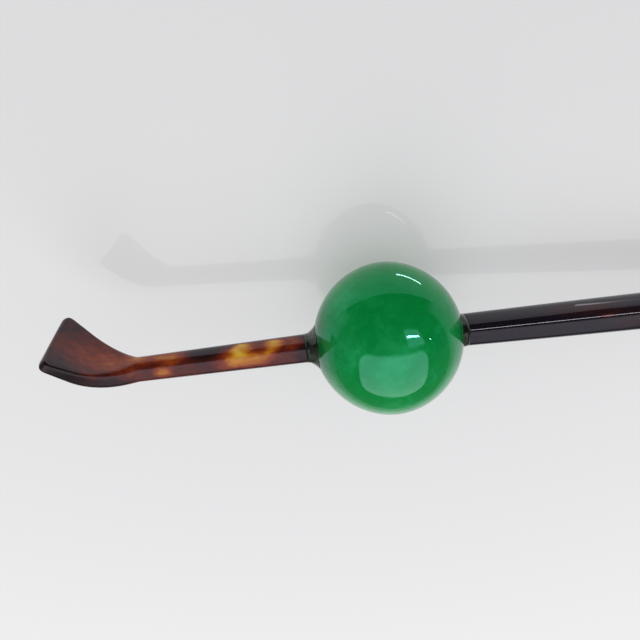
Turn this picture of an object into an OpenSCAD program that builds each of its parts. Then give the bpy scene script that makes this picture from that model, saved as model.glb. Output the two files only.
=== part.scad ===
// Hairpin with a drilled ball: an ear-pick end, a polished green ball and one
// long leg. It lies on its side, on the ball and on the tip of the leg.
// Millimetres. +Z is up, +X runs towards the ear-pick end, and -Y is the front,
// the side that the ear-pick end bends to.

/* [Ball] */
// Widest diameter of the ball
ball_d = 18; // [14:0.5:22]
// How much shorter the ball is along the pin than across it
ball_flat = 0.5; // [0:0.1:1]

/* [Ear-pick end] */
// Length of the straight neck, from its shoulder to the start of the bend
neck_len = 19.8; // [12:0.2:28]
// Width of the neck at its shoulder
neck_w = 3.2; // [2.6:0.1:4]
// Thickness of the neck at its shoulder
neck_t = 3.1; // [2.4:0.1:3.8]
// Width of the neck where the bend starts
waist_w = 2.7; // [2.2:0.05:3.2]
// Thickness of the neck where the bend starts
waist_t = 2.7; // [2:0.05:3.2]
// Length of the scoop's bend, measured round it
bend_len = 7; // [4:0.2:10]
// Angle that the scoop bends through
bend_angle = 51; // [20:1:80]
// Length of the straight end of the scoop, from the bend to its tip
scoop_end_len = 3.4; // [2:0.1:6]
// Width of the scoop at its tip
scoop_w = 9.4; // [5:0.1:12]
// How the scoop widens. 1 is evenly, less is sooner
scoop_flare = 0.75; // [0.6:0.05:1.4]
// Share of the scoop's length over which it starts to widen
scoop_ease = 0.08; // [0.02:0.02:0.3]
// Thickness of the scoop at its tip
scoop_t = 1.2; // [0.9:0.05:2]
// Depth of the hollow in the face of the scoop
scoop_hollow = 0.25; // [0:0.05:0.4]
// Share of the scoop's length by which the bar has turned into the flat scoop
flat_at = 0.6; // [0.4:0.05:1]
// Radius of the corners of the tip
scoop_corner_r = 1; // [0.3:0.05:1.5]

/* [Leg] */
// Length of the leg, from its shoulder to its tip
leg_len = 109; // [80:1:130]
// Width of the leg at its shoulder
leg_top_w = 3.95; // [3.4:0.05:4.6]
// Width of the leg at its widest
leg_wide_w = 4.8; // [4.6:0.05:6]
// Distance from the shoulder to the widest place
leg_wide_at = 50; // [30:1:65]
// How the leg widens below the ball. 1 is evenly, more is sooner
leg_swell = 2; // [1:0.1:3]
// How the leg narrows to its tip. 1 is evenly, more is later
leg_taper = 1.4; // [1:0.1:2.5]
// Width of the leg where its tip starts to round
leg_tip_w = 3.1; // [2.2:0.05:4]
// Thickness of the leg at its shoulder
leg_top_t = 3.3; // [2.6:0.05:3.8]
// Thickness of the leg at its widest place
leg_wide_t = 4; // [3.4:0.05:4.6]
// Thickness of the leg at its tip
leg_tip_t = 2.9; // [2:0.05:3.6]
// Share of that thickness that is left at the very end of the tip
leg_end_share = 0.45; // [0.3:0.05:0.8]

/* [Edges and fit] */
// Share of the width of the neck and the leg that their rounded edges take up
round_w = 0.9; // [0.6:0.05:0.95]
// Share of their thickness that these edges take up
round_t = 0.7; // [0.5:0.05:0.8]
// Radius of the edges of the scoop at its tip
edge_r = 0.35; // [0.2:0.05:0.4]
// Angle by which the neck and the leg each lean back from the line of the hole
arch = 0.7; // [0:0.1:1]
// Diameter of the tenon that joins the neck to the leg through the ball
tenon_d = 1.6; // [1.2:0.05:1.6]
// Length of the tenon inside the leg
tenon_reach = 8; // [4:0.5:10]
// Length of the tenon's root inside the neck
tenon_root = 2; // [1:0.5:3]
// Clearance between the tenon and the hole through the ball
bore_gap = 0.1; // [0.05:0.01:0.15]
// Clearance between pieces that meet
fit = 0.05; // [0.02:0.01:0.1]

/* [Glue] */
// Length of the collar of glue between the neck and the ball
collar_len = 0.7; // [0.3:0.05:1]
// How far the collar flares out past the neck where it meets the ball
collar_flare = 0.95; // [0.4:0.05:1.4]
// How the glue flares to the ball. 1 is evenly, more is a hollower curve
glue_curve = 1.3; // [1:0.1:2]
// Thickness of the bead of glue between the ball and the leg
seam_len = 0.25; // [0.2:0.05:0.5]
// How far the bead stands out past the leg
seam_flare = 0.15; // [0.05:0.05:0.4]

/* [Hidden] */

// Facets of true round surfaces, which are kept exact
round_fn = 96;
// Steps round each corner of a bar's section, and points across each wide face
corner_steps = 5;
face_points = 5;
// Steps along the neck, the scoop, the corners of its tip, the leg and its tip
neck_steps = 6;
scoop_steps = 20;
tip_steps = 5;
leg_steps = 22;
// Steps across the glue, from the bars out to the ball, then inwards over the
// share of its seat on the ball that lies outside the hole
glue_steps = 4;
seat_share = 0.8;
// Angles that the rounding of the scoop's corners and of the leg's tip sweep.
// 90 would close the tip to a line
corner_sweep = 85;
tip_sweep = 80;

// The ball is two spherical caps, face to face. cap_r is their radius, and the
// middle of each one's sphere lies cap_off past the middle of the ball.
ball_r = ball_d / 2;
ball_end = ball_r - ball_flat / 2;
cap_r = (ball_r * ball_r / ball_end + ball_end) / 2;
cap_off = cap_r - ball_end;
// Shoulders of the neck and the leg, measured from the middle of the ball
neck_x = ball_end + collar_len;
leg_x = ball_end + seam_len;
bore_d = tenon_d + 2 * bore_gap;

// Points round one section of a bar, with its edges rounded over rt of its
// thickness and rw of its width, and its front face hollowed. The first number
// of a point is its distance to the front, the second its height.
function section(w, t, rw, rt, hollow) =
    let (h = t / 2 - rt, v = w / 2 - rw, n = face_points + 1)
    concat(
        [for (i = [0:corner_steps]) let (a = 90 * i / corner_steps)
            [h + rt * cos(a), v + rw * sin(a)]],
        [for (i = [0:corner_steps]) let (a = 90 + 90 * i / corner_steps)
            [-h + rt * cos(a), v + rw * sin(a)]],
        [for (i = [1:face_points]) let (q = 1 - 2 * i / n)
            [-h - rt, v * q]],
        [for (i = [0:corner_steps]) let (a = 180 + 90 * i / corner_steps)
            [-h + rt * cos(a), -v + rw * sin(a)]],
        [for (i = [0:corner_steps]) let (a = 270 + 90 * i / corner_steps)
            [h + rt * cos(a), -v + rw * sin(a)]],
        [for (i = [1:face_points]) let (q = 2 * i / n - 1)
            [h + rt - hollow * (1 - q * q), v * q]]
    );
function bar_section(w, t) = section(w, t, round_w * w / 2, round_t * t / 2, 0);

ring_n = 4 * (corner_steps + 1) + 2 * face_points;

// Faces of a skin over rings of points, closed at both ends. Each end is filled
// with strips from its front to its back, so it may be bowed or hollow. side is
// 1 where the rings run towards the ear-pick end and -1 where they run from it.
function front_at(i) = (corner_steps - i + ring_n) % ring_n;
function back_at(i) = corner_steps + 1 + i;
function quad(a, b, c, d, side) =
    side > 0 ? [[a, b, c], [a, c, d]] : [[a, c, b], [a, d, c]];
function skin_faces(rings, side) = concat(
    [for (j = [0:rings - 2]) for (i = [0:ring_n - 1])
        let (a = j * ring_n, b = a + ring_n, k = (i + 1) % ring_n)
        each quad(a + i, a + k, b + k, b + i, side)],
    [for (end = [0, 1]) for (i = [0:ring_n / 2 - 2])
        let (e = end * (rings - 1) * ring_n)
        each quad(e + front_at(i), e + front_at(i + 1), e + back_at(i + 1), e + back_at(i),
                  end > 0 ? -side : side)]
);

// Ear-pick end: a straight neck, then a scoop that widens and thins round a bend
scoop_len = bend_len + scoop_end_len;
bend_share = bend_len / scoop_len;
bend_r = bend_len / bend_angle * 180 / PI;
function smooth(v) = v * v * (3 - 2 * v);
function eased(v) =
    (norm([v, scoop_ease]) - scoop_ease) / (norm([1, scoop_ease]) - scoop_ease);
function mix(a, b, v) = a + (b - a) * v;
function neck_ring(v) =
    let (x = neck_x + neck_len * v)
    [for (p = bar_section(mix(neck_w, waist_w, v), mix(neck_t, waist_t, v)))
        [x, tan(arch) * x - p[0], p[1]]];
function scoop_ring(v) =
    let (
        short = max(0, scoop_corner_r - (1 - v) * scoop_len),
        cut = scoop_corner_r - sqrt(scoop_corner_r * scoop_corner_r - short * short),
        w = mix(waist_w, scoop_w, pow(eased(v), scoop_flare)) - 2 * cut,
        t = mix(waist_t, scoop_t, v),
        flat_share = smooth(min(1, v / flat_at)),
        rw = mix(round_w * waist_w / 2, edge_r, flat_share),
        rt = mix(round_t * waist_t / 2, edge_r, flat_share),
        a = bend_angle * min(1, v / bend_share),
        flat = max(0, v - bend_share) * scoop_len,
        x0 = neck_x + neck_len + bend_r * sin(a) + flat * cos(a),
        y0 = tan(arch) * x0 - bend_r * (1 - cos(a)) - flat * sin(a)
    )
    [for (p = section(w, t, rw, rt, scoop_hollow * flat_share))
        [x0 - p[0] * sin(a), y0 - p[0] * cos(a), p[1]]];
scoop_round_at = 1 - scoop_corner_r / scoop_len;
ear_pick_rings = concat(
    [for (i = [0:neck_steps - 1]) neck_ring(i / neck_steps)],
    [for (i = [0:scoop_steps]) scoop_ring(scoop_round_at * i / scoop_steps)],
    [for (i = [1:tip_steps])
        scoop_ring(mix(scoop_round_at, 1, sin(corner_sweep * i / tip_steps)))]
);
ear_pick_points = [for (r = ear_pick_rings) each r];

// Leg: it widens gently below the ball, then narrows to a rounded tip
function leg_w_at(s) =
    s < leg_wide_at
    ? mix(leg_wide_w, leg_top_w, pow(1 - s / leg_wide_at, leg_swell))
    : mix(leg_wide_w, leg_tip_w, pow((s - leg_wide_at) / (leg_len - leg_wide_at), leg_taper));
function leg_t_at(s) =
    s < leg_wide_at
    ? mix(leg_wide_t, leg_top_t, pow(1 - s / leg_wide_at, leg_swell))
    : mix(leg_wide_t, leg_tip_t, (s - leg_wide_at) / (leg_len - leg_wide_at));
leg_round = leg_tip_w / 2;
function leg_ring(s) =
    let (
        x = leg_x + s,
        short = max(0, s - (leg_len - leg_round)) / leg_round,
        full = sqrt(1 - short * short),
        thin = mix(leg_end_share, 1, full)
    )
    [for (p = bar_section(leg_w_at(s) * full, leg_t_at(s) * thin))
        [-x, tan(arch) * x - p[0], p[1]]];
leg_rings = concat(
    [for (i = [0:leg_steps]) leg_ring((leg_len - leg_round) * i / leg_steps)],
    [for (i = [1:tip_steps])
        leg_ring(leg_len - leg_round * (1 - sin(tip_sweep * i / tip_steps)))]
);
leg_points = [for (r = leg_rings) each r];

// The pin lies on its side: its line tips until the leg meets the surface that
// the cap next to the leg lies on, and the whole is centred over the origin.
function tip_angle(p) =
    let (x = p[0] - cap_off, far = sqrt(x * x + p[2] * p[2]))
    asin(cap_r / far) - atan2(-p[2], -x);
rest_tip = min([for (p = leg_points) tip_angle(p)]);
function along(p) = p[0] * cos(rest_tip) - p[2] * sin(rest_tip);
pin_points = concat(ear_pick_points, leg_points);
pin_across = concat([-ball_r, ball_r], [for (p = pin_points) p[1]]);
function middle(a) = (min(a) + max(a)) / 2;
lift = cap_r - cap_off * sin(rest_tip);
module lay() {
    translate([-middle([for (p = pin_points) along(p)]), -middle(pin_across), lift])
        rotate([0, -rest_tip, 0])
            children();
}

// A round bar along the pin, from x to x + len
module along_pin(x, len, d) {
    translate([x, 0, 0])
        rotate([0, 90, 0])
            cylinder(h = len, d = d, $fn = round_fn);
}

module ear_pick() {
    tenon_end = leg_x + tenon_reach;
    color("#7a2f14")
        lay()
            union() {
                polyhedron(ear_pick_points, skin_faces(len(ear_pick_rings), 1));
                along_pin(-tenon_end, tenon_end + neck_x + tenon_root, tenon_d);
            }
}

module ball() {
    color("#1f8748")
        lay()
            rotate([0, 90, 0])
                rotate_extrude($fn = round_fn)
                    intersection() {
                        translate([0, -cap_off])
                            circle(r = cap_r, $fn = round_fn);
                        translate([0, cap_off])
                            circle(r = cap_r, $fn = round_fn);
                        translate([bore_d / 2, -ball_r])
                            square([ball_d, ball_d]);
                    }
}

module leg() {
    socket_end = leg_x + tenon_reach + fit;
    color("#2a1a1c")
        lay()
            difference() {
                polyhedron(leg_points, skin_faces(len(leg_rings), -1));
                along_pin(-socket_end, socket_end, tenon_d + 2 * fit);
            }
}

// Glue between a bar's shoulder and the ball, round the tenon. It starts with
// the bar's own section, flares to the ball, and ends on the ball's curve. Its
// flat facets cut across that curve, so it gets twice the usual clearance there.
function on_ball(p) =
    sqrt(pow(cap_r + 2 * fit, 2) - p[0] * p[0] - p[1] * p[1]) - cap_off;
function flared(p, x, flare) =
    p * (1 + flare / norm(p)) - [tan(arch) * x, 0];
function glue_ring(outline, x, flare, v) =
    [for (p = outline)
        let (q = flared(p, x, flare * pow(v, glue_curve)))
        [mix(x - fit, on_ball(flared(p, x, flare)), v), -q[0], q[1]]];
function seat_ring(outline, x, flare, share) =
    [for (p = outline)
        let (q = flared(p, x, flare) * share)
        [on_ball(q), -q[0], q[1]]];
module glue(side, x, flare, w, t) {
    outline = bar_section(w, t);
    rings = concat(
        [for (i = [0:glue_steps]) glue_ring(outline, x, flare, i / glue_steps)],
        [for (i = [1:glue_steps]) seat_ring(outline, x, flare, 1 - seat_share * i / glue_steps)]
    );
    points = [for (r = rings) for (p = r) [side * p[0], p[1], p[2]]];
    difference() {
        polyhedron(points, skin_faces(len(rings), -side));
        along_pin(-ball_d, 2 * ball_d, tenon_d + 2 * fit);
    }
}

module upper_glue() {
    color("#6f7f6a")
        lay()
            glue(1, neck_x, collar_flare, neck_w, neck_t);
}

module lower_glue() {
    color("#4c5a4c")
        lay()
            glue(-1, leg_x, seam_flare, leg_top_w, leg_top_t);
}

ear_pick();
ball();
leg();
upper_glue();
lower_glue();
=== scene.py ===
"""Looks of the ball hairpin: an ear-pick end, a polished green ball and one long leg.

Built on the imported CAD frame, in metres. The pin's own sizes are in millimetres in
the pin's frame, as the maker drew it: x along the pin towards the ear-pick end, y to
the back, z across its width, and the origin in the middle of the ball.
"""

import math

import bmesh
import bpy
from mathutils import Matrix, Vector


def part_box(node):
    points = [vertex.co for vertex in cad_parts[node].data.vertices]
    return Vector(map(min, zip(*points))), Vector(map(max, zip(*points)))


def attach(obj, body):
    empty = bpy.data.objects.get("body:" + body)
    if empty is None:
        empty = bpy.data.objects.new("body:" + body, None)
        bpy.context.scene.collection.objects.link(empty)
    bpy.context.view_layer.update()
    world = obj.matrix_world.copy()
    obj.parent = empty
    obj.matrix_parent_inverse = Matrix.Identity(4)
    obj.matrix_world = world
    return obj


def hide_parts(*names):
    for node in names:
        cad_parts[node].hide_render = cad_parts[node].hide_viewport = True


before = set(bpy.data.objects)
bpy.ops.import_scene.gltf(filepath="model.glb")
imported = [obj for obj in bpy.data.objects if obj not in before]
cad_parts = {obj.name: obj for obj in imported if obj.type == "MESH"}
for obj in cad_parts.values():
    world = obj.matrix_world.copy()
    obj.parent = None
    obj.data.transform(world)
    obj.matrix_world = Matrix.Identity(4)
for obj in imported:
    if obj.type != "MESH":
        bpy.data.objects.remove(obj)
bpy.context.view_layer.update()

scene = bpy.context.scene
MM = 0.001

# The pin lies on its side on the ball and on the tip of the leg, so its line rises
# a little towards the ear-pick end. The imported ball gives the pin's middle, and the
# packed leg its line.
ball_low, ball_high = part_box("ball")
pin_middle = (ball_low + ball_high) / 2
leg_points = [v.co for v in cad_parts["leg"].data.vertices]
leg_middle = sum(leg_points, Vector()) / len(leg_points)
lie = math.atan2(pin_middle.z - leg_middle.z, pin_middle.x - leg_middle.x)
pin_to_row = Matrix.Translation(pin_middle) @ Matrix.Rotation(-lie, 4, "Y")


def to_row(x, y, z):
    """A point of the pin, in millimetres, as a point of the row frame in metres."""
    return pin_to_row @ Vector((x * MM, y * MM, z * MM))


# The camera looks down on the pin's side from the front, held upside down, close
# enough for strong perspective.
camera_from_ball = Vector((6.63, -38.31, 50.35)) * MM
view_azimuth = math.radians(1.85)
view_elevation = math.radians(55.19)
view_roll = math.radians(-177.02)
lens_mm, sensor_mm = 29.98, 36

forward = Vector((
    math.cos(view_elevation) * math.sin(view_azimuth),
    math.cos(view_elevation) * math.cos(view_azimuth),
    -math.sin(view_elevation),
))
camera_data = bpy.data.cameras.new("camera")
camera_data.lens = lens_mm
camera_data.sensor_width = sensor_mm
camera_data.clip_start = 0.001
camera = bpy.data.objects.new("camera", camera_data)
scene.collection.objects.link(camera)
camera.matrix_world = (
    Matrix.Translation(pin_middle + camera_from_ball)
    @ forward.to_track_quat("-Z", "Y").to_matrix().to_4x4()
    @ Matrix.Rotation(-view_roll, 4, "Z")
)
scene.camera = camera

# The ball. One bead of green stone, cut a little shorter along its hole than
# across, drilled through, and polished to a glassy shine. Its form is two spherical
# caps, face to face, with the ridge between them polished away.
ball_d, ball_flat = 18, 0.5
bore_d = 1.8
ball_end = (ball_d - ball_flat) / 2
cap_r = ((ball_d / 2) ** 2 / ball_end + ball_end) / 2
cap_off = cap_r - ball_end
ridge_blend = 0.25
ball_steps_round, ball_steps_along, hole_steps = 192, 120, 6
weld_mm = 0.002

stone_deep, stone_body, stone_pale = "#007c2e", "#088a3e", "#24a05c"
cloud_mm, wisp_mm, wisp_share = 5, 1.2, 0.35
# Painted shade round the hole: its colour, how much of it, and from and to how far from the hole's
# line.
painted_shade_green, painted_shade_share = "#033c18", 0.85
painted_shade_from_mm, painted_shade_to_mm = 1.5, 7.5


def linear(colour):
    """An sRGB hex colour as linear RGBA."""
    parts = [int(colour[i:i + 2], 16) / 255 for i in (1, 3, 5)]
    return [c / 12.92 if c <= 0.04045 else ((c + 0.055) / 1.055) ** 2.4
            for c in parts] + [1]


def add(tree, kind, links=(), **settings):
    """A node with its settings and its inputs. A link is (input, value), where the
    value is plain, a socket, or a node that gives its first output."""
    node = tree.nodes.new(kind)
    for name, value in settings.items():
        setattr(node, name, value)
    for name, value in links:
        if isinstance(value, bpy.types.Node):
            value = value.outputs[0]
        if isinstance(value, bpy.types.NodeSocket):
            tree.links.new(value, node.inputs[name])
        else:
            node.inputs[name].default_value = value
    return node


def new_material(name, finish):
    """A material whose Principled shader has the given finish, by socket name."""
    material = bpy.data.materials.new(name)
    material.use_nodes = True
    tree = material.node_tree
    tree.nodes.clear()
    shader = add(tree, "ShaderNodeBsdfPrincipled", finish.items())
    add(tree, "ShaderNodeOutputMaterial", [("Surface", shader)])
    return material, tree, shader


# Polished translucent stone, dyed an even green: glassy, with soft pale clouds a
# few millimetres across and finer wisps in them. The green shows in its gloss too.
stone, tree, shader = new_material("polished_green_stone", {
    "Roughness": 0.02,
    "IOR": 1.6,
    "Specular Tint": linear("#84fff4"),
    "Subsurface Weight": 0.3,
    "Subsurface Radius": (0.3, 1.0, 0.5),
    "Subsurface Scale": 1.2 * MM,
})
place = add(tree, "ShaderNodeTexCoord").outputs["Object"]
place = add(tree, "ShaderNodeVectorMath", [(0, place), ("Scale", 1 / MM)], operation="SCALE")
clouds = add(tree, "ShaderNodeTexNoise", [
    ("Vector", place), ("Scale", 1 / cloud_mm), ("Detail", 3), ("Roughness", 0.5),
    ("Distortion", 0.4),
])
wisps = add(tree, "ShaderNodeTexNoise", [
    ("Vector", place), ("Scale", 1 / wisp_mm), ("Detail", 4), ("Roughness", 0.6),
    ("Distortion", 0.8),
])
cloudy = add(tree, "ShaderNodeMix", [("Factor", wisp_share), ("A", clouds), ("B", wisps)],
             data_type="FLOAT")
greens = add(tree, "ShaderNodeValToRGB", [(0, cloudy)])
greens.color_ramp.elements[0].position = 0.3
greens.color_ramp.elements[0].color = linear(stone_deep)
greens.color_ramp.elements[1].position = 0.72
greens.color_ramp.elements[1].color = linear(stone_pale)
greens.color_ramp.elements.new(0.5).color = linear(stone_body)
# Painted shade: the stone is darkened round the hole towards its ends, standing in for the
# neck's and the glue's shade on it and their dark mirror image; partly it is the hole and
# its tenon showing darkly through the stone.
from_hole = add(tree, "ShaderNodeVectorMath", [(0, place), (1, pin_middle / MM)],
                operation="SUBTRACT")
from_hole = add(tree, "ShaderNodeVectorMath", [
    (0, from_hole), (1, (math.cos(lie), 0, math.sin(lie))),
], operation="CROSS_PRODUCT")
from_hole = add(tree, "ShaderNodeVectorMath", [(0, from_hole)], operation="LENGTH")
painted_shade = add(tree, "ShaderNodeMapRange", [
    ("Value", from_hole.outputs["Value"]), ("From Min", painted_shade_from_mm),
    ("From Max", painted_shade_to_mm), ("To Min", painted_shade_share), ("To Max", 0.0),
], interpolation_type="SMOOTHSTEP")
green = add(tree, "ShaderNodeMix", [(0, painted_shade), (6, greens), (7, linear(painted_shade_green))],
            data_type="RGBA")
tree.links.new(green.outputs[2], shader.inputs["Base Color"])

# The bead is turned about its hole: a grid whose one side runs along the arc from
# rim to rim and whose other runs round, closed by the wall of the hole.
bead = bpy.data.node_groups.new("drilled_bead", "GeometryNodeTree")
bead.interface.new_socket("Bead", in_out="OUTPUT", socket_type="NodeSocketGeometry")
for name, kind in (("Cap radius", "Float"), ("Cap offset", "Float"), ("Ridge blend", "Float"),
                   ("Hole radius", "Float"), ("Steps along", "Int"), ("Steps round", "Int"),
                   ("Steps in hole", "Int"), ("Weld", "Float"), ("Middle", "Vector"),
                   ("Turn", "Vector"), ("Finish", "Material")):
    bead.interface.new_socket(name, in_out="INPUT", socket_type="NodeSocket" + kind)
given = add(bead, "NodeGroupInput").outputs

grid = add(bead, "GeometryNodeMeshGrid", [
    ("Size X", 1.0), ("Size Y", 1.0),
    ("Vertices X", add(bead, "ShaderNodeMath", [(0, given["Steps along"]), (1, 1.0)])),
    ("Vertices Y", add(bead, "ShaderNodeMath", [(0, given["Steps round"]), (1, 1.0)])),
])
spot = add(bead, "ShaderNodeSeparateXYZ", [(0, add(bead, "GeometryNodeInputPosition"))]).outputs
rim = add(bead, "ShaderNodeMath", [(0, given["Hole radius"]), (1, given["Cap radius"])],
          operation="DIVIDE")
rim = add(bead, "ShaderNodeMath", [(0, rim)], operation="ARCSINE")
far_rim = add(bead, "ShaderNodeMath", [(0, math.pi), (1, rim)], operation="SUBTRACT")
angle = add(bead, "ShaderNodeMapRange", [
    ("Value", spot[0]), ("From Min", -0.5), ("From Max", 0.5), ("To Min", rim), ("To Max", far_rim),
])
turn = add(bead, "ShaderNodeMapRange", [
    ("Value", spot[1]), ("From Min", -0.5), ("From Max", 0.5), ("To Min", 0.0),
    ("To Max", 2 * math.pi),
])


def along_hole(angle):
    """How far along the hole a point of the skin is. The caps' offset changes sign
    smoothly at the middle, which rounds the ridge."""
    lean = add(bead, "ShaderNodeMath", [(0, angle)], operation="COSINE")
    side = add(bead, "ShaderNodeCombineXYZ", [(0, lean), (1, given["Ridge blend"])])
    side = add(bead, "ShaderNodeVectorMath", [(0, side)], operation="NORMALIZE")
    side = add(bead, "ShaderNodeSeparateXYZ", [(0, side)])
    shift = add(bead, "ShaderNodeMath", [(0, side), (1, given["Cap offset"])],
                operation="MULTIPLY")
    reach = add(bead, "ShaderNodeMath", [(0, lean), (1, given["Cap radius"])],
                operation="MULTIPLY")
    return add(bead, "ShaderNodeMath", [(0, reach), (1, shift)], operation="SUBTRACT")


out = add(bead, "ShaderNodeMath", [(0, angle)], operation="SINE")
out = add(bead, "ShaderNodeMath", [(0, out), (1, given["Cap radius"])], operation="MULTIPLY")
arc = add(bead, "ShaderNodeCombineXYZ", [(0, along_hole(angle)), (1, out)])
turned = add(bead, "ShaderNodeVectorRotate", [("Vector", arc), ("Angle", turn)],
             rotation_type="X_AXIS")
skin = add(bead, "GeometryNodeSetPosition", [("Geometry", grid), ("Position", turned)])
depth = add(bead, "ShaderNodeMath", [(0, along_hole(rim)), (1, 2.0)], operation="MULTIPLY")
hole = add(bead, "GeometryNodeMeshCylinder", [
    ("Vertices", given["Steps round"]), ("Side Segments", given["Steps in hole"]),
    ("Radius", given["Hole radius"]), ("Depth", depth),
], fill_type="NONE")
hole = add(bead, "GeometryNodeTransform",
           [("Geometry", hole), ("Rotation", (0, math.pi / 2, 0))])
hole = add(bead, "GeometryNodeFlipFaces", [("Mesh", hole)])
whole = add(bead, "GeometryNodeJoinGeometry", [("Geometry", skin), ("Geometry", hole)])
whole = add(bead, "GeometryNodeMergeByDistance", [("Geometry", whole), ("Distance", given["Weld"])])
whole = add(bead, "GeometryNodeSetShadeSmooth", [("Geometry", whole)])
whole = add(bead, "GeometryNodeTransform", [
    ("Geometry", whole), ("Translation", given["Middle"]), ("Rotation", given["Turn"]),
])
whole = add(bead, "GeometryNodeRealizeInstances", [("Geometry", whole)])
whole = add(bead, "GeometryNodeSetMaterial", [("Geometry", whole), ("Material", given["Finish"])])
add(bead, "NodeGroupOutput", [(0, whole)])


def made_by(tree, name, values):
    """A mesh object made by a geometry tree from values given by input name."""
    holder = bpy.data.objects.new(name, bpy.data.meshes.new(name))
    scene.collection.objects.link(holder)
    maker = holder.modifiers.new("maker", "NODES")
    maker.node_group = tree
    for item in tree.interface.items_tree:
        if item.name in values:
            maker[item.identifier] = values[item.name]
    bpy.context.view_layer.update()
    shown = holder.evaluated_get(bpy.context.evaluated_depsgraph_get())
    mesh = bpy.data.meshes.new_from_object(shown)
    holder.modifiers.remove(maker)
    old, holder.data = holder.data, mesh
    bpy.data.meshes.remove(old)
    mesh.name = name
    return holder


ball = made_by(bead, "green_ball", {
    "Cap radius": cap_r * MM,
    "Cap offset": cap_off * MM,
    "Ridge blend": ridge_blend,
    "Hole radius": bore_d / 2 * MM,
    "Steps along": ball_steps_along,
    "Steps round": ball_steps_round,
    "Steps in hole": hole_steps,
    "Weld": weld_mm * MM,
    "Middle": pin_middle,
    "Turn": (0, -lie, 0),
    "Finish": stone,
})
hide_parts("ball")
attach(ball, "root")

# The ear-pick end. One bar of tortoiseshell-pattern material, filed to a rounded
# section, widened and bent into a shallow scoop at its end, and polished. A round
# tenon left at its foot goes through the ball and into the leg.
# Both bars lean to the back a little as they leave the ball.
arch = math.tan(math.radians(0.7))
round_w, round_t = 0.9, 0.7
tenon_d, tenon_reach, tenon_bevel = 1.6, 8, 0.15
collar_len, seam_len = 0.7, 0.25
neck_x, leg_x = ball_end + collar_len, ball_end + seam_len
neck_len, foot_bevel = 19.8, 0.1
neck_w, neck_t = 3.2, 3.1
waist_w, waist_t = 2.7, 2.7
bend_len, bend_angle, scoop_end_len = 7, math.radians(51), 3.4
scoop_len = bend_len + scoop_end_len
scoop_w, scoop_t, scoop_hollow = 9.4, 1.2, 0.25
scoop_flare, scoop_ease, flat_at = 0.75, 0.08, 0.6
scoop_corner_r, edge_r, edge_share = 1, 0.35, 0.45
lip_r, lip_thinning, lip_sweep = 0.45, 0.85, 87
corner_steps, face_points, side_points = 10, 11, 3
neck_steps, scoop_steps, lip_steps = 60, 90, 14


def mix(a, b, share):
    """The size that lies a share of the way from a to b."""
    return a + (b - a) * share


def smooth(share):
    """A share from 0 to 1 that starts and stops gently."""
    share = min(1, max(0, share))
    return share * share * (3 - 2 * share)


def section(w, t, rw, rt, hollow):
    """Points round a section, as (distance to the front, height), with its edges
    rounded over rt of its thickness and rw of its width, and its front hollowed."""
    h, v = t / 2 - rt, w / 2 - rw
    points = []

    def corner(start, x, z):
        for i in range(corner_steps + 1):
            a = math.radians(start + 90 * i / corner_steps)
            points.append((x + rt * math.cos(a), z + rw * math.sin(a)))

    def side(z):
        points.extend((math.copysign(h, z) * (1 - 2 * i / (side_points + 1)), z)
                      for i in range(1, side_points + 1))

    corner(0, h, v)
    side(v + rw)
    corner(90, -h, v)
    points.extend((-h - rt, v * (1 - 2 * i / (face_points + 1)))
                  for i in range(1, face_points + 1))
    corner(180, -h, -v)
    side(-v - rw)
    corner(270, h, -v)
    for i in range(1, face_points + 1):
        q = 2 * i / (face_points + 1) - 1
        points.append((h + rt - hollow * (1 - q * q), v * q))
    return points


def bar_section(w, t):
    """The section of a bar, with its edges filed round over most of each side."""
    return section(w, t, round_w * w / 2, round_t * t / 2, 0)


def ring_of(points, along, x, y, angle=0):
    """A section set on the pin's line at x, y and turned to the front by angle. A ring
    is its length along the unrolled pin, and each point's place and section point."""
    return along, [((x - p[0] * math.sin(angle), y - p[0] * math.cos(angle), p[1]), p)
                   for p in points]


def tenon_ring(x, r, like):
    """A round section with its points where those of another section are."""
    around = [math.atan2(p[1], p[0]) for p in like]
    return ring_of([(r * math.cos(a), r * math.sin(a)) for a in around], x, x, 0)


def neck_ring(s):
    """The neck s millimetres from its foot."""
    v, x = s / neck_len, neck_x + s
    return ring_of(bar_section(mix(neck_w, waist_w, v), mix(neck_t, waist_t, v)),
                   x, x, arch * x)


def scoop_ring(s):
    """The scoop s millimetres after the start of its bend. It widens, thins and
    hollows, its corners are rounded, and its end has a rounded lip."""
    v, left = s / scoop_len, scoop_len - s
    short = max(0, scoop_corner_r - left)
    cut = scoop_corner_r - math.sqrt(max(0, scoop_corner_r ** 2 - short ** 2))
    thin = max(0, 1 - left / lip_r)
    lip = 1 - math.sqrt(max(0, 1 - thin * thin))
    eased = (math.hypot(v, scoop_ease) - scoop_ease) / (math.hypot(1, scoop_ease) - scoop_ease)
    w = mix(waist_w, scoop_w, eased ** scoop_flare) - 2 * cut
    t = mix(waist_t, scoop_t, v) * (1 - lip_thinning * lip)
    flat_share = smooth(v / flat_at)
    rw = mix(round_w * waist_w / 2, edge_r, flat_share)
    rt = min(mix(round_t * waist_t / 2, edge_r, flat_share), edge_share * t)
    bend_r = bend_len / bend_angle
    a = bend_angle * min(1, s / bend_len)
    straight = max(0, s - bend_len)
    x = neck_x + neck_len + bend_r * math.sin(a) + straight * math.cos(a)
    y = arch * x - bend_r * (1 - math.cos(a)) - straight * math.sin(a)
    return ring_of(section(w, t, rw, rt, scoop_hollow * flat_share * (1 - lip)),
                   neck_x + neck_len + s, x, y, a)


def round_end(r, sweep, i, steps):
    """How far ring i of a rounded end of radius r lies from the very end."""
    return r * (1 - math.sin(math.radians(sweep * i / steps)))


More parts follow.
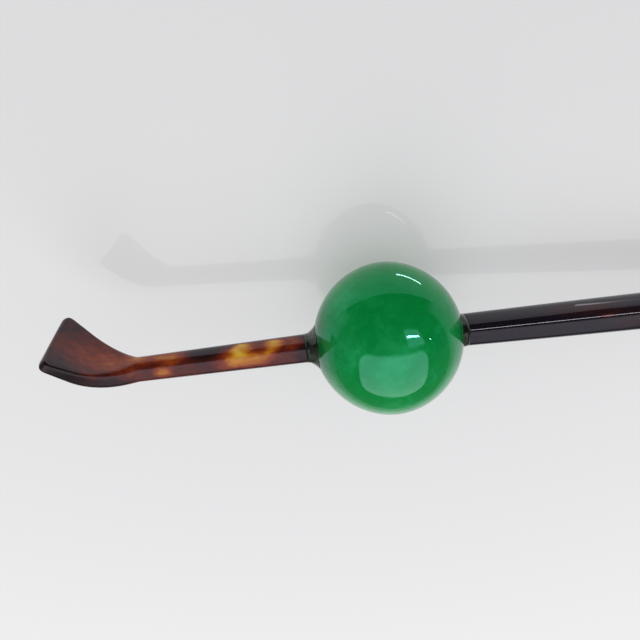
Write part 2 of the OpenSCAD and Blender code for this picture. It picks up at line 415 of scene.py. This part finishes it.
def loft(name, rings, closed=False):
    """A closed skin over rings of points, with the unrolled place of each point in
    the attribute "shell": millimetres along the pin, across its width, and deep."""
    mesh = bpy.data.meshes.new(name)
    n, last = len(rings[0][1]), len(rings) - 1
    faces = []
    for j in range(last + closed):
        a, b = j * n, (j + 1) % len(rings) * n
        for i in range(n):
            k = (i + 1) % n
            faces.append((a + i, b + i, b + k, a + k))
    if not closed:
        faces.append(list(range(n)))
        faces.append([last * n + i for i in reversed(range(n))])
    mesh.from_pydata([to_row(*place) for _, ring in rings for place, _ in ring], [], faces)
    shell = mesh.attributes.new("shell", "FLOAT_VECTOR", "POINT")
    unrolled = [(along, p[1], p[0]) for along, ring in rings for _, p in ring]
    shell.data.foreach_set("vector", [value for point in unrolled for value in point])
    form = bmesh.new()
    form.from_mesh(mesh)
    bmesh.ops.recalc_face_normals(form, faces=form.faces)
    form.to_mesh(mesh)
    form.free()
    mesh.shade_smooth()
    piece = bpy.data.objects.new(name, mesh)
    scene.collection.objects.link(piece)
    return piece


foot = bar_section(neck_w, neck_t)
foot_small = bar_section(neck_w - 2 * foot_bevel, neck_t - 2 * foot_bevel)
tenon_end = -(leg_x + tenon_reach)
rings = [tenon_ring(tenon_end, tenon_d / 2 - tenon_bevel, foot)]
for x in (tenon_end + tenon_bevel, -ball_end, 0, ball_end, neck_x):
    rings.append(tenon_ring(x, tenon_d / 2, foot))
rings.append(ring_of(foot_small, neck_x, neck_x, arch * neck_x))
for i in range(neck_steps):
    rings.append(neck_ring(mix(foot_bevel, neck_len, i / neck_steps)))
for i in range(scoop_steps + 1):
    rings.append(scoop_ring((scoop_len - scoop_corner_r) * i / scoop_steps))
for i in range(1, lip_steps + 1):
    rings.append(scoop_ring(scoop_len - round_end(scoop_corner_r, lip_sweep, i, lip_steps)))
ear_pick = loft("tortoiseshell_ear_pick", rings)

# The dark pigment lies in soft clouds in a clear amber ground. Each row clears or
# darkens the bar round one place: where that is, how far it reaches, how much.
neck_clouds = (
    # along, height, to the front, half along, half high, half deep, clearer
    (9.2, 0.0, 0.0, 1.6, 4.0, 4.0, -0.22),
    (11.4, 0.2, 1.1, 1.3, 1.2, 1.6, 0.16),
    (13.6, 0.2, 1.2, 1.1, 1.2, 1.6, 0.46),
    (15.6, 0.0, 1.3, 1.1, 1.0, 1.4, 0.12),
    (17.4, 0.2, 1.2, 1.3, 1.1, 1.6, 0.43),
    (18.6, 0.9, 1.0, 1.2, 0.8, 1.4, 0.16),
    (16.4, 1.5, 0.4, 3.4, 0.8, 1.3, 0.33),
    (17.0, -1.7, 0.8, 10.0, 1.1, 1.8, -0.30),
    (16.0, 1.2, -1.6, 9.0, 1.6, 1.0, -0.20),
    (21.4, -0.2, 1.1, 1.6, 1.4, 1.6, -0.26),
    (25.2, 0.2, 1.2, 1.8, 1.0, 1.6, 0.24),
    (26.3, 1.65, 0.3, 1.2, 0.55, 1.1, 0.54),
    (28.4, -0.4, 1.2, 2.4, 1.1, 1.5, 0.20),
    (31.2, 0.2, 0.8, 2.8, 1.8, 1.6, 0.14),
    (34.5, 0.2, 0.3, 3.4, 3.0, 1.6, 0.13),
    (32.0, 2.6, -0.5, 3.4, 1.0, 1.5, -0.24),
    (36.4, 4.4, -0.3, 4.5, 1.2, 1.6, -0.24),
    (38.6, -3.4, 0.2, 2.6, 2.2, 1.4, -0.07),
    (38.0, 3.6, 0.2, 3.6, 1.6, 1.4, -0.12),
    (40.3, 0.0, 0.2, 1.0, 6.0, 1.6, -0.08),
)
amber_tints = (
    (0.0, "#140a0b"), (0.2, "#2c110f"), (0.36, "#601e10"), (0.5, "#8f3c12"),
    (0.64, "#c07a1c"), (0.78, "#d9ae38"), (1.0, "#ecd37c"),
)
amber_ground = 0.3
cloud_core, cloud_edge = 0.2, 1.5
drawn_out = (0.4, 1.0, 0.8)
streak_mm, stir_mm = 2.4, (2.6, 1.2, 1.2)
fleck_mm, fleck_share = 0.55, 0.08


def tortoiseshell(name, ground, clouds, tints, roughness):
    """Polished tortoiseshell-pattern material: how clear of pigment it is at each
    place gives its colour. The clouds are stirred and streaked along the bar."""
    material, tree, shader = new_material(name, {
        "Roughness": roughness,
        "IOR": 1.54,
        "Specular Tint": linear("#f6f1ff"),
        "Subsurface Weight": 0.25,
        "Subsurface Radius": (1.0, 0.4, 0.15),
        "Subsurface Scale": 0.6 * MM,
    })
    place = add(tree, "ShaderNodeAttribute", attribute_name="shell").outputs["Vector"]
    drawn = add(tree, "ShaderNodeVectorMath", [(0, place), (1, drawn_out)],
                operation="MULTIPLY")
    stir = add(tree, "ShaderNodeTexNoise", [
        ("Vector", drawn), ("Scale", 1 / streak_mm), ("Detail", 4), ("Roughness", 0.55),
    ]).outputs["Color"]
    stir = add(tree, "ShaderNodeVectorMath", [(0, stir), (1, (0.5, 0.5, 0.5))],
               operation="SUBTRACT")
    stir = add(tree, "ShaderNodeVectorMath", [(0, stir), (1, stir_mm)], operation="MULTIPLY")
    stirred = add(tree, "ShaderNodeVectorMath", [(0, place), (1, stir)], operation="ADD")
    flecks = add(tree, "ShaderNodeTexNoise", [
        ("Vector", drawn), ("Scale", 1 / fleck_mm), ("Detail", 5), ("Roughness", 0.6),
    ])
    clear = add(tree, "ShaderNodeMapRange", [
        ("Value", flecks), ("From Min", 0.25), ("From Max", 0.75),
        ("To Min", ground - fleck_share), ("To Max", ground + fleck_share),
    ])
    for along, height, front, half_along, half_high, half_deep, clearer in clouds:
        off = add(tree, "ShaderNodeVectorMath", [(0, stirred), (1, (along, height, front))],
                  operation="SUBTRACT")
        off = add(tree, "ShaderNodeVectorMath", [
            (0, off), (1, (1 / half_along, 1 / half_high, 1 / half_deep)),
        ], operation="MULTIPLY")
        off = add(tree, "ShaderNodeVectorMath", [(0, off)], operation="LENGTH")
        share = add(tree, "ShaderNodeMapRange", [
            ("Value", off.outputs["Value"]), ("From Min", cloud_edge),
            ("From Max", cloud_core), ("To Min", 0.0), ("To Max", clearer),
        ], interpolation_type="SMOOTHSTEP")
        clear = add(tree, "ShaderNodeMath", [(0, clear), (1, share)], operation="ADD")
    colour = add(tree, "ShaderNodeValToRGB", [(0, clear)])
    ends = colour.color_ramp.elements
    ends[0].position, ends[0].color = tints[0][0], linear(tints[0][1])
    ends[1].position, ends[1].color = tints[-1][0], linear(tints[-1][1])
    for at, tint in tints[1:-1]:
        ends.new(at).color = linear(tint)
    tree.links.new(colour.outputs[0], shader.inputs["Base Color"])
    return material


amber_shell = tortoiseshell("polished_tortoiseshell", amber_ground, neck_clouds, amber_tints,
                            0.1)
ear_pick.data.materials.append(amber_shell)
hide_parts("ear_pick")
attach(ear_pick, "root")

# The leg. One long bar of the same material, almost black, glued to the ball and
# socketed over the tenon. It widens gently below the ball and narrows to a rounded
# tip. Where light gets through its edges it glows a deep red.
leg_len, leg_wide_at = 109, 50
leg_top_w, leg_wide_w, leg_tip_w = 3.95, 4.8, 3.1
leg_top_t, leg_wide_t, leg_tip_t = 3.3, 4, 2.9
leg_swell, leg_taper, leg_end_share = 2, 1.4, 0.45
leg_end_len = leg_tip_w / 2
shoulder_r = 0.35
tip_sweep, shoulder_sweep = 82, 80
fit = 0.05
tip_steps, leg_steps, shoulder_steps = 14, 150, 5


def leg_section(s):
    """The leg's section s millimetres from the ball's end of it."""
    if s < leg_wide_at:
        near = (1 - s / leg_wide_at) ** leg_swell
        w, t = mix(leg_wide_w, leg_top_w, near), mix(leg_wide_t, leg_top_t, near)
    else:
        far = (s - leg_wide_at) / (leg_len - leg_wide_at)
        w, t = mix(leg_wide_w, leg_tip_w, far ** leg_taper), mix(leg_wide_t, leg_tip_t, far)
    short = max(0, shoulder_r - s)
    cut = 2 * (shoulder_r - math.sqrt(shoulder_r ** 2 - short * short))
    short = max(0, s - (leg_len - leg_end_len)) / leg_end_len
    full = math.sqrt(max(0, 1 - short * short))
    return bar_section(w * full - cut, t * mix(leg_end_share, 1, full) - cut)


def leg_ring(s):
    """The leg's ring s millimetres from the ball's end of it."""
    return ring_of(leg_section(s), -(leg_x + s), -(leg_x + s), arch * (leg_x + s))


rings = []
for i in range(tip_steps, 0, -1):
    rings.append(leg_ring(leg_len - round_end(leg_end_len, tip_sweep, i, tip_steps)))
for i in range(leg_steps + 1):
    rings.append(leg_ring(mix(leg_len - leg_end_len, shoulder_r, i / leg_steps)))
for i in range(1, shoulder_steps + 1):
    leg_top = round_end(shoulder_r, shoulder_sweep, i, shoulder_steps)
    rings.append(leg_ring(leg_top))
for x in (-leg_x - leg_top, -leg_x - tenon_reach / 2, tenon_end - fit):
    rings.append(tenon_ring(x, tenon_d / 2 + fit, leg_section(leg_top)))
leg = loft("tortoiseshell_leg", rings)

# The same polished material in its near-black grade, a little clearer in one place.
leg_clouds = (
    # along, height, to the front, half along, half high, half deep, clearer
    (-22.5, 0.4, 1.3, 5.5, 1.3, 1.4, 0.22),
    (-25.0, 1.0, 1.2, 3.2, 1.0, 1.2, 0.14),
    (-25.4, 1.8, 0.9, 1.3, 0.3, 0.6, 0.5),
    (-29.0, 1.6, 0.4, 3.8, 1.0, 1.4, 0.25),
)
dark_tints = (
    (0.0, "#0a080d"), (0.3, "#16101a"), (0.5, "#34140f"), (0.75, "#8a3212"), (1.0, "#c8742a"),
)
dark_ground = 0.22
dark_shell = tortoiseshell("polished_dark_tortoiseshell", dark_ground, leg_clouds, dark_tints,
                           0.06)
leg.data.materials.append(dark_shell)
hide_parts("leg")
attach(leg, "root")

# The glue. A clear resin glue, brushed into each joint and left to harden: a flared
# collar between the neck and the ball, and a thin bead between the ball and the leg.
# Each is a ring round the tenon that also wets the bar's foot in a thin lip.
collar_flare, seam_flare, glue_curve = 0.95, 0.15, 1.3
glue_film, lip_len, lip_out, flare_start = 0.02, 0.3, 0.05, 0.07
glue_steps, seat_steps = 14, 6
ripple_mm, ripple_deep_mm = 1.43, 0.15


def on_ball(points):
    """How far along the pin the ball's skin is at each point of a section."""
    return [math.sqrt((cap_r + glue_film) ** 2 - p[0] ** 2 - p[1] ** 2) - cap_off
            for p in points]


def glue(name, side, x, flare, w, t):
    """The glue between the ball and a bar's foot at x, on the side of the ear-pick end
    (1) or of the leg (-1). It is flare wider than the bar on the ball."""
    outline, lean = bar_section(w, t), arch * x
    count = len(outline)

    def grown(more):
        return [(p[0] * (1 + more / math.hypot(*p)) - lean, p[1] * (1 + more / math.hypot(*p)))
                for p in outline]

    def ring(points, xs):
        return x, [((side * px, -p[0], p[1]), p) for px, p in zip(xs, points)]

    around = [math.atan2(p[1], p[0] - lean) for p in outline]
    hole_r = tenon_d / 2 + fit
    hole = [(hole_r * math.cos(a), hole_r * math.sin(a)) for a in around]
    seat = grown(flare)
    rings = [
        ring(hole, [x - fit] * count),
        ring(grown(glue_film), [x - fit] * count),
        ring(grown(glue_film), [x + lip_len] * count),
        ring(grown(lip_out), [x + lip_len] * count),
    ]
    for i in range(glue_steps + 1):
        v = i / glue_steps
        rings.append(ring(grown(mix(flare_start, flare, v ** glue_curve)),
                          [mix(x - fit, far, v) for far in on_ball(seat)]))
    for i in range(1, seat_steps + 2):
        share = i / (seat_steps + 1)
        points = [(mix(q[0], h[0], share), mix(q[1], h[1], share)) for q, h in zip(seat, hole)]
        rings.append(ring(points, on_ball(points)))
    return loft(name, rings, closed=True)


# Hardened clear glue: glassy and grey-green, with a slightly uneven skin. Its tint is
# dark: painted shade of the joint, seen through it. It wets what it joins, so it hardly
# bends the light on its way in, and shines outside.
glue_clear, tree, shader = new_material("hardened_clear_glue", {
    "Base Color": linear("#3a4a36"),
    "Roughness": 0.1,
    "IOR": 1.1,
    "Transmission Weight": 0.85,
    "Coat Weight": 1.0,
    "Coat Roughness": 0.06,
    "Coat IOR": 1.5,
})
ripples = add(tree, "ShaderNodeTexNoise", [
    ("Vector", add(tree, "ShaderNodeTexCoord").outputs["Object"]),
    ("Scale", 1 / (ripple_mm * MM)), ("Detail", 2),
])
uneven = add(tree, "ShaderNodeBump", [
    ("Height", ripples), ("Strength", 0.3), ("Distance", ripple_deep_mm * MM),
])
tree.links.new(uneven.outputs[0], shader.inputs["Coat Normal"])

upper_glue = glue("glue_collar", 1, neck_x, collar_flare, neck_w, neck_t)
lower_glue = glue("glue_bead", -1, leg_x, seam_flare, leg_top_w, leg_top_t)
for piece, node in ((upper_glue, "upper_glue"), (lower_glue, "lower_glue")):
    piece.data.materials.append(glue_clear)
    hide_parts(node)
    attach(piece, "root")

# The stage: a plain pale floor in a pale room that is dim in front of the pin. Soft
# lights hang level overhead, and strips lie on the floor in front, to show in the
# gloss alone. Daylight falls from behind.
floor_half = 3
floor_colour, floor_glow = "#bebec0", 0.25
floor_mesh = bpy.data.meshes.new("floor")
floor_mesh.from_pydata(
    [(x * floor_half, y * floor_half, 0) for x, y in ((-1, -1), (1, -1), (1, 1), (-1, 1))],
    [], [(0, 1, 2, 3)],
)
floor = bpy.data.objects.new("floor", floor_mesh)
scene.collection.objects.link(floor)

# Pale laminated board, smooth: it gives a faint mirror image of what lies on it.
board, tree, shader = new_material("pale_laminated_board", {
    "Base Color": linear(floor_colour),
    "Emission Color": (1, 1, 1, 1),
    "Emission Strength": floor_glow,
    "Roughness": 0.03,
    "IOR": 1.45,
})
# The gloss of the pin mirrors the floor only up to a ring round the ball. Past the
# ring, in front of the pin, it sees the floor as dim as the room is there.
front_seen = 0.05
ring_across, ring_out, ring_edge = 0.042, 0.062, 0.03
ring_sides = (0.32, 0.5)
place = add(tree, "ShaderNodeNewGeometry").outputs["Position"]
place = add(tree, "ShaderNodeVectorMath", [(0, place), (1, pin_middle)], operation="SUBTRACT")
place = add(tree, "ShaderNodeVectorMath", [
    (0, place), (1, (1 / ring_across, 1 / ring_out, 0)),
], operation="MULTIPLY")
out = add(tree, "ShaderNodeVectorMath", [(0, place)], operation="LENGTH")
past = add(tree, "ShaderNodeMapRange", [
    ("Value", out.outputs["Value"]), ("From Min", 1.0), ("From Max", 1 + ring_edge),
], interpolation_type="SMOOTHSTEP")
ahead = add(tree, "ShaderNodeVectorMath", [(0, place)], operation="NORMALIZE")
ahead = add(tree, "ShaderNodeVectorMath", [(0, ahead), (1, (0, -1, 0))],
            operation="DOT_PRODUCT")
dimmed = add(tree, "ShaderNodeMapRange", [
    ("Value", ahead.outputs["Value"]), ("From Min", ring_sides[0]),
    ("From Max", ring_sides[1]), ("To Max", past),
], interpolation_type="SMOOTHSTEP")
mirrored = add(tree, "ShaderNodeLightPath").outputs["Is Glossy Ray"]
dimmed = add(tree, "ShaderNodeMath", [(0, dimmed), (1, mirrored)], operation="MULTIPLY")
dim = add(tree, "ShaderNodeEmission", [("Strength", front_seen)])
seen = add(tree, "ShaderNodeMixShader", [(0, dimmed), (1, shader), (2, dim)])
tree.links.new(seen.outputs[0], tree.nodes["Material Output"].inputs["Surface"])
floor_mesh.materials.append(board)


def gloss_light(name, pieces, size, place, radiance, turn=0):
    """A flat light that shows only in the gloss of the given pieces. It faces down, or
    is turned over."""
    data = bpy.data.lights.new(name, "AREA")
    data.shape = "RECTANGLE"
    data.size, data.size_y = size
    data.energy = 4 * data.size * data.size_y * radiance
    light = bpy.data.objects.new(name, data)
    light.location = place
    light.rotation_euler = (turn, 0, 0)
    light.visible_diffuse = False
    light.visible_camera = False
    scene.collection.objects.link(light)
    group = bpy.data.collections.new(name)
    for piece in pieces:
        group.objects.link(piece)
    light.light_linking.receiver_collection = group
    return data


light_height = 0.5
no_fade = (90, 99)


def level_light(name, pieces, x, y, radiance, level=1.0, corner=0.02, edge=0.02, dim=1.0,
                fade=no_fade, colour="#ffffff"):
    """A level light over the pin, level times light_height above the ball. Its reach in
    x and y, its rounded corners, its soft edge and the distances where it fades are for
    each metre of that height. Its far end may be dimmer."""
    height = light_height * level
    middle = [(x[0] + x[1]) / 2, (y[0] + y[1]) / 2, 1]
    half = [(x[1] - x[0]) / 2, (y[1] - y[0]) / 2]
    data = gloss_light(name, pieces, [2 * h * height for h in half],
                       pin_middle + Vector(middle) * height, 1)
    data.use_nodes = True
    tree = data.node_tree
    tree.nodes.clear()
    place = add(tree, "ShaderNodeNewGeometry").outputs["Position"]
    place = add(tree, "ShaderNodeVectorMath", [(0, place), (1, pin_middle)],
                operation="SUBTRACT")
    place = add(tree, "ShaderNodeVectorMath", [(0, place), ("Scale", 1 / height)],
                operation="SCALE")
    away = add(tree, "ShaderNodeVectorMath", [(0, place), (1, middle)], operation="SUBTRACT")
    away = add(tree, "ShaderNodeVectorMath", [(0, away)], operation="ABSOLUTE")
    away = add(tree, "ShaderNodeVectorMath", [
        (0, away), (1, (half[0] - corner, half[1] - corner, 1)),
    ], operation="SUBTRACT")
    away = add(tree, "ShaderNodeVectorMath", [(0, away), (1, (0, 0, 0))], operation="MAXIMUM")
    away = add(tree, "ShaderNodeVectorMath", [(0, away)], operation="LENGTH")
    strength = add(tree, "ShaderNodeMapRange", [
        ("Value", add(tree, "ShaderNodeSeparateXYZ", [(0, place)]).outputs[1]),
        ("From Min", y[0]), ("From Max", y[1]),
        ("To Min", radiance), ("To Max", radiance * dim),
    ])
    strength = add(tree, "ShaderNodeMapRange", [
        ("Value", away.outputs["Value"]), ("From Min", corner),
        ("From Max", max(0, corner - edge)), ("To Max", strength),
    ], interpolation_type="SMOOTHSTEP")
    distance = add(tree, "ShaderNodeVectorMath", [(0, place)], operation="LENGTH")
    strength = add(tree, "ShaderNodeMapRange", [
        ("Value", distance.outputs["Value"]), ("From Min", fade[1]), ("From Max", fade[0]),
        ("To Max", strength),
    ], interpolation_type="SMOOTHSTEP")
    shine = add(tree, "ShaderNodeEmission", [("Color", linear(colour)), ("Strength", strength)])
    add(tree, "ShaderNodeOutputLight", [(0, shine)])


# On the ball: a large soft light, a narrow bright one with a fainter panel round it,
# and a small bright one.
level_light("large_light", [ball], (-1.3, 1.2), (-0.25, 1.68), 2.1, corner=0.45, edge=0.14,
            colour="#ffe1e1")
level_light("panel", [ball], (-1.35, -0.4), (-1.15, -0.3), 1.2, level=1.05, corner=0.15,
            edge=0.15)
level_light("narrow_light", [ball], (-1.14, -0.5), (-0.79, -0.69), 48)
level_light("small_light", [ball], (-1.96, -1.84), (-0.55, -0.45), 36)
# On the bars: a fainter large light, and a narrow one along the leg.
bars = (ear_pick, leg, upper_glue, lower_glue)
level_light("large_light_for_bars", bars, (-1.3, 1.2), (-0.7, 1.68), 0.95, corner=0.5,
            edge=0.5, dim=0.3, colour="#fafaff")
level_light("narrow_light_for_leg", [leg], (-1.3, -0.25), (-1.32, -1.12), 14, corner=0.08,
            edge=0.08)
# On the floor: a wide light, which fades before it reaches the horizon.
level_light("wide_light", [floor], (-7, 7), (0, 7), 0.9, level=2, corner=0.6, edge=0.6,
            fade=(1.8, 7))

strip_height_mm = 0.2


def low_strip(name, piece, start, end, y, width, radiance):
    """A strip light that lies on the floor in front of the pin, in millimetres from
    the ball's middle, and faces up."""
    gloss_light(name, [piece], [(end - start) * MM, width * MM],
                (pin_middle.x + (start + end) / 2 * MM, pin_middle.y + y * MM,
                 strip_height_mm * MM), radiance, turn=math.pi)


low_strip("low_strip", ball, -13.4, -3.9, -15.6, 0.7, 12)
low_strip("low_strip_for_leg", leg, -37.0, -26.5, -6.7, 0.15, 2.4)

day_from, day_across, day_watts = Vector((0.05, 0.45, 0.5)), 0.5, 1.3
day = bpy.data.lights.new("daylight", "AREA")
day.size = day_across
day.energy = day_watts
daylight = bpy.data.objects.new("daylight", day)
daylight.location = pin_middle + day_from
daylight.rotation_euler = day_from.to_track_quat("Z", "Y").to_euler()
daylight.visible_glossy = False
scene.collection.objects.link(daylight)

# The room lights everything evenly, and what mirrors it sees it dim in front.
room_light, room_seen = 0.78, 0.18
dim_way, dim_from, dim_to = (-0.3, -0.9, 0.31), 0.2, 0.5
room = bpy.data.worlds.new("room")
scene.world = room
room.use_nodes = True
tree = room.node_tree
tree.nodes.clear()
way = add(tree, "ShaderNodeTexCoord").outputs["Generated"]
facing = add(tree, "ShaderNodeVectorMath", [(0, way), (1, dim_way)], operation="DOT_PRODUCT")
seen = add(tree, "ShaderNodeMapRange", [
    ("Value", facing.outputs["Value"]), ("From Min", dim_from), ("From Max", dim_to),
    ("To Min", room_seen), ("To Max", front_seen),
], interpolation_type="SMOOTHSTEP")
mirrored = add(tree, "ShaderNodeLightPath").outputs["Is Glossy Ray"]
strength = add(tree, "ShaderNodeMix", [("Factor", mirrored), ("A", room_light), ("B", seen)],
               data_type="FLOAT")
back = add(tree, "ShaderNodeBackground", [("Color", (1, 1, 1, 1)), ("Strength", strength)])
add(tree, "ShaderNodeOutputWorld", [(0, back)])

scene.view_settings.view_transform = "Standard"
